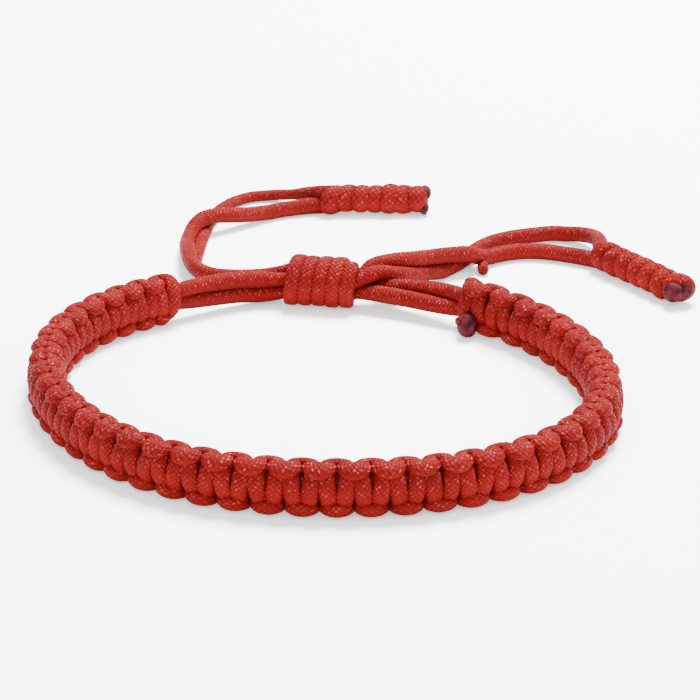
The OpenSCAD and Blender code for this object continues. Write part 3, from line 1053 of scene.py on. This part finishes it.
@dataclass(frozen=True)
class CoreCords:
    """The two core cords: through the sliding knot, round the loop inside the band and back.

    Attributes:
        band: The band that they run through.
        knot: The sliding knot that they run through.
        radius: Half thickness in the taut stretch, at the right.
        slack_radius: Half thickness in the slack stretch, at the left.
        slack_dip: How far the slack stretch hangs down.
        band_radius: Half thickness inside the band.
        taut_turns: Turn of the pair at the band and at the knot in the taut stretch, in degrees.
        slack_turns: The same in the slack stretch.
        stations: Shares of the way at which a stretch has its points.
        thinning: Share of the half thickness at each of them.
        nearness: Distance of a cord from the pair's mid line, over its half thickness.
        spacing: Distance between the rings.
        finish: Finish of the cords.
    """

    band: KnottedBand = KnottedBand()
    knot: SlidingKnot = SlidingKnot()
    radius: float = 1.06 * MM
    slack_radius: float = 1.05 * MM
    slack_dip: float = 0.45 * MM
    band_radius: float = 1.02 * MM
    taut_turns: tuple[float, float] = (60.0, 0.0)
    slack_turns: tuple[float, float] = (90.0, 90.0)
    stations: tuple[float, ...] = (0.2, 0.4, 0.6, 0.8)
    thinning: tuple[float, ...] = (0.95, 1.0, 1.0, 1.0)
    nearness: float = 0.92
    spacing: float = 0.2 * MM
    finish: CordFinish = CordFinish()

    def stretch(self, way: int, face: np.ndarray, rise: Rise, radius: float,
                turns: tuple[float, float], dip: float) -> np.ndarray:
        """Stretch between the band's end and the sliding knot.

        The mid line is an eased line from the band to the knot, bowed by the directions at its
        ends and lowered by the cube of the share of the way. The pair turns about it, where 90
        degrees is one above the other and 0 is side by side.

        Args:
            way: 1 at the band's right end and -1 at its left end.
            face: Middle of the knot's face that it reaches.
            rise: Which core cord.
            radius: Half thickness of the cord.
            turns: Turn of the pair at the band and at the knot, in degrees.
            dip: How far the stretch hangs down just before the knot.

        Returns:
            Rows of point and half thickness, from the band towards the knot.
        """
        at = self.band.loop.band_length() if way > 0 else 0.0
        ends = self.band.loop.carry(np.array([[at, 0.0, 0.0], [at + way * MM, 0.0, 0.0]]))
        ahead = unit(ends[1] - ends[0])
        arrive = -way * self.knot.ahead
        t = np.array(self.stations)
        thick = radius * np.array(self.thinning)
        middle = self._mid(ends[0], ahead, face, arrive, t) - dip * t[:, None] ** 3 * UP
        step = 0.05
        travel = unit(self._mid(ends[0], ahead, face, arrive, t + step)
                      - self._mid(ends[0], ahead, face, arrive, t - step))
        turn = np.radians(turns[0] + ease(t) * (turns[1] - turns[0]))[:, None]
        beside = -way * left_of(travel)
        spread = self.nearness * thick[:, None]
        points = middle + rise.value * spread * (np.sin(turn) * UP + np.cos(turn) * beside)
        return np.column_stack([points, thick])

    @staticmethod
    def _mid(p: np.ndarray, u: np.ndarray, q: np.ndarray, v: np.ndarray, t: np.ndarray) -> np.ndarray:
        """Eased line from p to q plus a bow along u at its start and against v at its end.

        Args:
            p: Start.
            u: Direction at the start.
            q: End.
            v: Direction at the end.
            t: Shares of the way.

        Returns:
            A point for each share.
        """
        t = t[:, None]
        bow = t * (1 - t) ** 2 * u - t * t * (1 - t) * v
        return (1 - ease(t)) * p + ease(t) * q + np.linalg.norm(q - p) * bow

    def cord(self, rise: Rise) -> bpy.types.Object:
        """Builds one core cord.

        Args:
            rise: Which core cord.

        Returns:
            The cord.
        """
        knot, loop = self.knot, self.band.loop
        reach = knot.half_length * knot.ahead
        right_face = knot.mid + reach - knot.bundle_half * UP
        left_face = knot.mid - reach - knot.bundle_half * knot.rear - knot.sink * UP
        right = self.stretch(1, right_face, rise, self.radius, self.taut_turns, 0.0)
        left = self.stretch(-1, left_face, rise, self.slack_radius, self.slack_turns, self.slack_dip)
        s = np.linspace(loop.band_length(), 0.0, self.band.half_knots() + 1)
        flat = np.stack([s, np.full_like(s, rise.value * self.band.core_rise), np.zeros_like(s)], axis=1)
        band = np.column_stack([loop.carry(flat), np.full(len(s), self.band_radius)])
        inner, outer = (np.column_stack([points, np.full(len(points), knot.bundle_r)])
                        for points in (knot.inside(-1, rise), knot.inside(1, rise)))
        rows = spline(np.concatenate([inner, right[::-1], band, left, outer]), self.spacing)
        out = np.broadcast_to(UP, rows[:, :3].shape)
        cord = Cord(rows[:, :3], out, rows[:, 3], rows[:, 3])
        return Surface(f"core_cord_{rise.name.lower()}_dressed").add(cord).build()

    def build(self) -> None:
        """Builds and dresses both core cords."""
        for rise in Rise:
            dress(self.cord(rise), self.finish, f"core_cord_{rise.name.lower()}")


@dataclass(frozen=True)
class MeltedEnd:
    """A burnt cord end: a lumpy bead.

    Attributes:
        node: CAD node that it stands for.
        seed: Start of the lumps' random draws.
        swell: Size over the node's box, along X, Y and Z.
        shift: How far it is moved from the box's middle, in metres.
        rings: Rings of the bead.
        sides: Corners of a ring.
        lumps: Number of lumps and hollows.
        depth: Deepest hollow and highest lump, as shares of the radius.
        sharpness: How fast a lump falls off round its middle.
        clearance: Least height over the surface.
        finish: Finish of the bead.
    """

    node: str
    seed: int
    swell: Triple = (1.5, 1.4, 1.3)
    shift: Triple = (0.0, 0.0, 0.0)
    rings: int = 24
    sides: int = 40
    lumps: int = 9
    depth: tuple[float, float] = (-0.22, 0.14)
    sharpness: float = 6.0
    clearance: float = 0.03 * MM
    finish: MeltedFinish = MeltedFinish()

    def build(self) -> bpy.types.Object:
        """Builds the bead round the middle of its node's box: a stretched ball with soft lumps.

        Returns:
            The bead.
        """
        low, high = (np.array(corner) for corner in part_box(self.node))
        azimuth = 2.0 * np.pi * np.arange(self.sides) / self.sides
        polar = (np.pi * (np.arange(self.rings) + 0.5) / self.rings)[:, None]
        ball = np.stack([np.sin(polar) * np.cos(azimuth), np.sin(polar) * np.sin(azimuth),
                         np.cos(polar) * np.ones(self.sides)], axis=-1)
        draw = np.random.default_rng(self.seed)
        lumps = unit(draw.normal(size=(self.lumps, 3)))
        size = draw.uniform(*self.depth, self.lumps)
        near = np.exp(-self.sharpness * (1.0 - ball @ lumps.T))
        ball = ball * (1.0 + near @ size)[..., None]
        points = (low + high) / 2 + self.shift + np.array(self.swell) * (high - low) / 2 * ball
        points[..., 2] += max(0.0, self.clearance - points[..., 2].min())
        no_map = np.zeros((self.rings, self.sides + 1, 2))
        surface = Surface(self.node + "_bead").lay(points, no_map, np.zeros(self.sides))
        return dress(surface.build(), self.finish, self.node)


@dataclass(frozen=True)
class TieKnot:
    """The knot that ties off a pair of tails: cord wound round them in turns.

    Attributes:
        node: CAD node that it stands for.
        name: Name of the piece.
        start: Start of its axis, in metres.
        turn: Direction of its axis from X, in degrees.
        bump: Length of one turn.
        seed: Start of its random draws.
        bumps: Number of turns.
        ring_r: Radius of a turn's centre line.
        cord_r: Half thickness of the cord.
        broad: Half width of the cord over its half thickness.
        slant: Least and greatest lean of a turn.
        slant_swing: How far the side that a turn leans to may swing, in radians.
        uneven: How far a turn's radius may differ.
        wander: How far a turn may lie beside the axis.
        wander_rise: Least and greatest share of that in height.
        end_taper: Radius of the last turn over the others'.
        pattern_step: Length of cord that the sheath's pattern moves on from turn to turn.
        rings: Rings of a turn.
        sides: Corners of a ring.
        clearance: Least height over the surface.
        finish: Finish of the cord.
    """

    node: str
    name: str
    start: Triple
    turn: float
    bump: float
    seed: int
    bumps: int = 7
    ring_r: float = 1.10 * MM
    cord_r: float = 0.86 * MM
    broad: float = 1.50
    slant: tuple[float, float] = (0.05, 0.60)
    slant_swing: float = 0.4
    uneven: float = 0.08
    wander: float = 0.16 * MM
    wander_rise: tuple[float, float] = (-0.3, 1.0)
    end_taper: float = 0.84
    pattern_step: float = 1.7 * MM
    rings: int = 61
    sides: int = 24
    clearance: float = 0.04 * MM
    finish: CordFinish = CordFinish()

    def build(self) -> bpy.types.Object:
        """Builds the turns: closed rings a bump apart, each leaning and a little uneven.

        Returns:
            The knot.
        """
        surface = Surface(self.name)
        draw = np.random.default_rng(self.seed)
        ahead = heading(self.turn)
        beside = left_of(ahead)
        angle = np.linspace(0.0, 2.0 * np.pi, self.rings)
        spoke = np.cos(angle)[:, None] * UP + np.sin(angle)[:, None] * beside
        full = self.cord_r * np.ones(self.rings)
        for i in range(self.bumps):
            slant = draw.uniform(*self.slant)
            lean = slant * np.sin(angle + draw.uniform(-self.slant_swing, self.slant_swing))
            taper = self.end_taper if i == self.bumps - 1 else 1.0
            ring = taper * self.ring_r * (1.0 + draw.uniform(-self.uneven, self.uneven))
            shift = self.bump * (i + 0.5) + ring * lean
            aside = self.wander * (draw.uniform(-1.0, 1.0) * beside + draw.uniform(*self.wander_rise) * UP)
            path = np.array(self.start) + aside + shift[:, None] * ahead + ring * spoke
            path[:, 2] = np.maximum(path[:, 2], self.cord_r + self.clearance)
            surface.add(Cord(path, spoke, self.broad * full, full, sides=self.sides,
                             from_length=self.pattern_step * i))
        return dress(surface.build(), self.finish, self.node)


@dataclass(frozen=True)
class TailCord:
    """A free tail cord, limp, laid on the surface.

    Attributes:
        node: CAD node that it stands for.
        route: Points of its route in metres.
        radius: Half thickness.
        pieces: Names of the pieces on it.
        flatness: Half width over half thickness.
        neck: Share by which it is squeezed where it leaves the sliding knot.
        neck_length: Length over which that fades.
        far_swell: Share by which it is fuller at its far end.
        swell_length: Length over which it fills out.
        lead_in: How far it goes on inside the knots at both ends.
        lead_rings: Rings of a lead-in, with the one it shares.
        path_step: Rings from one point of the path to the next, not used.
        spacing: Distance between the rings.
        sides: Corners of a ring.
        clearance: Least height over the surface.
        finish: Finish of the cord.
    """

    node: str
    route: tuple[Triple, ...]
    radius: float
    pieces: tuple[str, ...] = ()
    flatness: float = 1.0
    neck: float = 0.15
    neck_length: float = 1.8 * MM
    far_swell: float = 0.0
    swell_length: float = 6.0 * MM
    lead_in: float = 1.0 * MM
    lead_rings: int = 8
    path_step: int = 4
    spacing: float = 0.15 * MM
    sides: int = 26
    clearance: float = 0.03 * MM
    finish: CordFinish = CordFinish()

    def build(self) -> bpy.types.Object:
        """Builds the cord: a tube along the spline through its route, with straight lead-ins.

        Returns:
            The cord.
        """
        rows = spline(np.array(self.route), self.spacing)
        length = along(rows)
        squeeze = 1.0 - self.neck + self.neck * ease(length / self.neck_length)
        swell = 1.0 + self.far_swell * ease((length - length[-1]) / self.swell_length + 1.0)
        thick = self.radius * squeeze * swell
        lead = np.linspace(self.lead_in, 0.0, self.lead_rings)[:-1, None]
        path = np.concatenate([rows[0] - lead * unit(rows[1] - rows[0]), rows,
                               rows[-1] + lead[::-1] * unit(rows[-1] - rows[-2])])
        thick = np.pad(thick, len(lead), mode="edge")
        path[:, 2] = np.maximum(path[:, 2], thick + self.clearance)
        out = np.broadcast_to(UP, path.shape)
        cord = Cord(path, out, self.flatness * thick, thick, sides=self.sides)
        piece = dress(Surface(self.node + "_cord").add(cord).build(), self.finish, self.node)
        [bpy.data.objects[name] for name in self.pieces]
        LOG.info("%s: %.1f mm long", self.node, length[-1] / MM)
        return piece


@dataclass(frozen=True)
class TailStub:
    """A short cut cord that lies in front of the right tail and points at the band.

    Attributes:
        mid: Its middle, in metres.
        half_length: Half its length, along Y.
        radius: Half thickness.
        rings: Rings of the stub.
        sides: Corners of a ring.
        finish: Finish of the cord.
    """

    mid: Triple = (20.1 * MM, 39.5 * MM, 0.75 * MM)
    half_length: float = 1.4 * MM
    radius: float = 0.68 * MM
    rings: int = 19
    sides: int = 24
    finish: CordFinish = CordFinish()

    def build(self) -> bpy.types.Object:
        """Builds the stub with rounded ends.

        Returns:
            The stub.
        """
        y = np.linspace(self.half_length, -self.half_length, self.rings)
        path = np.array(self.mid) + np.stack([np.zeros(self.rings), y, np.zeros(self.rings)], axis=1)
        full = np.full(self.rings, self.radius)
        cord = Cord(path, np.broadcast_to(UP, path.shape), full, full, sides=self.sides).rounded()
        return dress(Surface("cut_tail_stub").add(cord).build(), self.finish, "tail_stub")


@dataclass(frozen=True)
class Lamp:
    """A soft square lamp.

    Attributes:
        name: Its name.
        place: Where it hangs, in metres.
        size: Length of its side.
        power: Its power in watts.
        target: Where it points.
    """

    name: str
    place: Triple
    size: float
    power: float
    target: Triple = (0.0, 0.01, 0.0)

    def build(self) -> None:
        """Adds the lamp."""
        data = bpy.data.lights.new(self.name, "AREA")
        data.size = self.size
        data.energy = self.power
        aim(self.name, data, self.place, self.target)


@dataclass(frozen=True)
class Studio:
    """Pale floor, soft lights and the camera.

    Attributes:
        camera_at: Place of the camera, in metres.
        camera_to: Point that it looks at.
        lens: Focal length, in millimetres.
        sensor: Width of its sensor, in millimetres.
        near: Distance from which it sees.
        floor_size: Length of the floor's side.
        floor_gap: How far the floor lies below the part.
        floor_tint: Colour of the floor.
        floor_rough: Roughness of the floor.
        floor_gloss: Specular level of the floor.
        floor_glow: Strength of the floor's own light.
        sky_strength: Strength of the white surroundings.
        lamps: Key light above and behind, and two fills.
    """

    camera_at: Triple = (0.00313, -0.32167, 0.14262)
    camera_to: Triple = (0.00313, 0.01431, 0.0)
    lens: float = 156.3
    sensor: float = 36.0
    near: float = 0.005
    floor_size: float = 2.4
    floor_gap: float = 0.02 * MM
    floor_tint: Triple = (0.96, 0.96, 0.96)
    floor_rough: float = 0.9
    floor_gloss: float = 0.1
    floor_glow: float = 0.48
    sky_strength: float = 1.45
    lamps: tuple[Lamp, ...] = (
        Lamp("key", (0.10, 0.24, 0.52), 0.24, 24.0),
        Lamp("front_fill", (-0.15, -0.60, 0.40), 0.6, 5.0),
        Lamp("side_fill", (0.60, -0.05, 0.30), 0.5, 3.0))

    def camera(self) -> None:
        """Adds the camera and makes it the scene's."""
        data = bpy.data.cameras.new("camera")
        data.lens = self.lens
        data.sensor_width = self.sensor
        data.sensor_fit = "HORIZONTAL"
        data.clip_start = self.near
        bpy.context.scene.camera = aim("camera", data, self.camera_at, self.camera_to)

    def floor(self) -> None:
        """Adds the floor, a flat square grid of four faces a hair below the part."""
        edge = np.linspace(-0.5, 0.5, 3) * self.floor_size
        x, y = np.meshgrid(edge, edge, indexing="xy")
        points = np.stack([x.ravel(), y.ravel(), np.full(x.size, -self.floor_gap)], axis=1)
        faces = [(3 * r + c, 3 * r + c + 1, 3 * r + c + 4, 3 * r + c + 3) for r in (0, 1) for c in (0, 1)]
        mesh = bpy.data.meshes.new("floor")
        mesh.from_pydata(points.tolist(), [], faces)
        floor = bpy.data.objects.new("floor", mesh)
        bpy.context.scene.collection.objects.link(floor)
        material = bpy.data.materials.new("floor_paper")
        material.use_nodes = True
        shader = material.node_tree.nodes["Principled BSDF"]
        for socket, value in (("Base Color", (*self.floor_tint, 1.0)), ("Roughness", self.floor_rough),
                              ("Specular IOR Level", self.floor_gloss), ("Emission Color", WHITE),
                              ("Emission Strength", self.floor_glow)):
            shader.inputs[socket].default_value = value
        mesh.materials.append(material)

    def lights(self) -> None:
        """Adds the lamps and the white surroundings."""
        for lamp in self.lamps:
            lamp.build()
        world = bpy.data.worlds.new("surroundings")
        world.use_nodes = True
        sky = world.node_tree.nodes["Background"]
        sky.inputs["Color"].default_value = WHITE
        sky.inputs["Strength"].default_value = self.sky_strength
        bpy.context.scene.world = world

    def build(self) -> None:
        """Adds the camera, the floor and the lights."""
        self.camera()
        self.floor()
        self.lights()


@dataclass(frozen=True)
class Bracelet:
    """The whole bracelet.

    Attributes:
        ties: The knots that tie off the tails.
        beads: The melted cord ends.
        stub: The cut cord end.
        tails: The four tail cords.
        band: The knotted band.
        core: The core cords.
        knot: The sliding knot.
    """

    ties: tuple[TieKnot, ...] = (
        TieKnot("left_tie_knot", "left_end_knot", (0.0, 0.0614, 0.00195), 0.0, 1.88 * MM, 13),
        TieKnot("right_tie_knot", "right_end_knot", (0.0353, 0.0407, 0.00195), -53.0, 2.20 * MM, 14))
    beads: tuple[MeltedEnd, ...] = (
        MeltedEnd("left_tip_high", 3, shift=(-0.6 * MM, 0.0, 0.0)),
        MeltedEnd("left_tip_low", 4, shift=(-0.7 * MM, 0.0, 0.0)),
        MeltedEnd("right_tip_rear", 5, (1.7, 1.5, 1.6), (-1.2 * MM, 0.3 * MM, 0.1 * MM)),
        MeltedEnd("right_tip_front", 6, (1.6, 1.6, 1.6), (-0.8 * MM, 0.3 * MM, 0.1 * MM)),
        MeltedEnd("band_tip_low", 7, (1.25, 1.3, 1.6), (0.15 * MM, 0.2 * MM, 0.3 * MM)),
        MeltedEnd("band_tip_high", 8, (1.0, 1.0, 1.0)))
    stub: TailStub = TailStub()
    tails: tuple[TailCord, ...] = (
        TailCord("left_tail_outer", LEFT_OUTER, 1.02 * MM, ("left_end_knot", "left_tip_low_bead"),
                 far_swell=0.12),
        TailCord("left_tail_inner", LEFT_INNER, 0.72 * MM, ("left_tip_high_bead",),
                 flatness=1.2, far_swell=0.35),
        TailCord("right_tail_rear", RIGHT_REAR, 1.04 * MM, ("right_end_knot", "right_tip_rear_bead")),
        TailCord("right_tail_front", RIGHT_FRONT, 1.02 * MM, ("right_tip_front_bead", "cut_tail_stub")))
    band: KnottedBand = KnottedBand()
    core: CoreCords = CoreCords()
    knot: SlidingKnot = SlidingKnot()

    def build(self) -> None:
        """Builds every piece: first what lies on the tails, then the tails, then the rest."""
        for piece in (*self.ties, *self.beads, self.stub, *self.tails, self.band, self.core, self.knot):
            piece.build()


def main() -> None:
    """Builds the studio and the bracelet."""
    logging.basicConfig(level=logging.INFO, format="%(name)s %(message)s")
    Studio().build()
    Bracelet().build()


if __name__ == "__main__":
    main()
